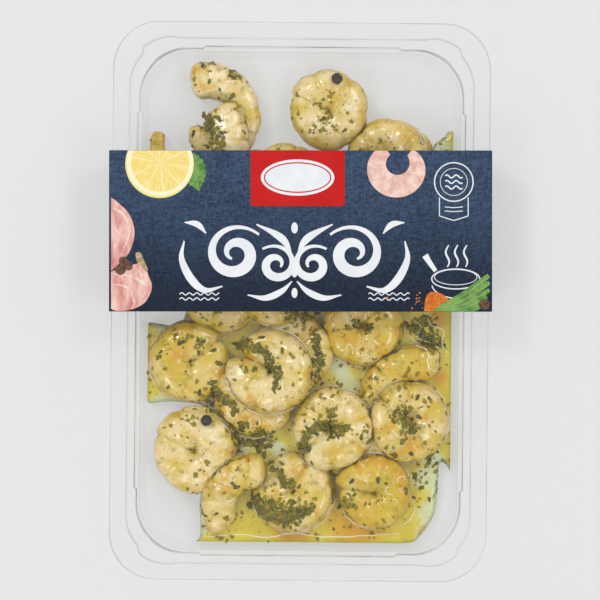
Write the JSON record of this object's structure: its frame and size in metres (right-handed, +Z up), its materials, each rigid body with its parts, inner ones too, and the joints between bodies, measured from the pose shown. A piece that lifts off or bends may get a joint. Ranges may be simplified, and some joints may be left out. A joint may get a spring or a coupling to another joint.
{
  "type": "sealed tray of marinated shrimp",
  "caption": "Clear sealed tray of curled, peeled shrimp in herb marinade, closed by a flat clear film and wrapped in a printed card sleeve.",
  "frame": {"origin": "under the middle of the pack, in the plane that it rests on", "axes": "+Y along the tray towards the sleeve's end, +Z up through the film, +X across to the right"},
  "size_m": [0.1528, 0.222, 0.0282],
  "materials": {
    "clear_tray": "clear thermoformed plastic sheet, glossy",
    "clear_film": "thin clear sealing film",
    "printed_card": "printed card, navy with a fine fabric-like grain, satin",
    "marinade": "glossy yellow herb oil",
    "shrimp_flesh": "moist cooked shrimp flesh, pale cream to peach with yellow stains"
  },
  "bodies": {
    "root": {"tray": "clear_tray", "lid_film": "clear_film", "sleeve": "printed_card", "marinade": "marinade", "shrimp_01": "shrimp_flesh", "shrimp_02": "shrimp_flesh", "shrimp_03": "shrimp_flesh", "shrimp_04": "shrimp_flesh", "shrimp_05": "shrimp_flesh", "shrimp_06": "shrimp_flesh", "shrimp_07": "shrimp_flesh", "shrimp_08": "shrimp_flesh", "shrimp_09": "shrimp_flesh", "shrimp_10": "shrimp_flesh", "shrimp_11": "shrimp_flesh", "shrimp_12": "shrimp_flesh", "shrimp_13": "shrimp_flesh", "shrimp_14": "shrimp_flesh", "shrimp_15": "shrimp_flesh", "shrimp_16": "shrimp_flesh", "shrimp_17": "shrimp_flesh", "shrimp_18": "shrimp_flesh", "shrimp_19": "shrimp_flesh", "shrimp_20": "shrimp_flesh", "shrimp_21": "shrimp_flesh", "shrimp_22": "shrimp_flesh", "shrimp_23": "shrimp_flesh", "shrimp_24": "shrimp_flesh", "shrimp_25": "shrimp_flesh", "shrimp_26": "shrimp_flesh", "shrimp_27": "shrimp_flesh", "shrimp_28": "shrimp_flesh", "shrimp_29": "shrimp_flesh", "shrimp_30": "shrimp_flesh"}
  },
  "joints": []
}
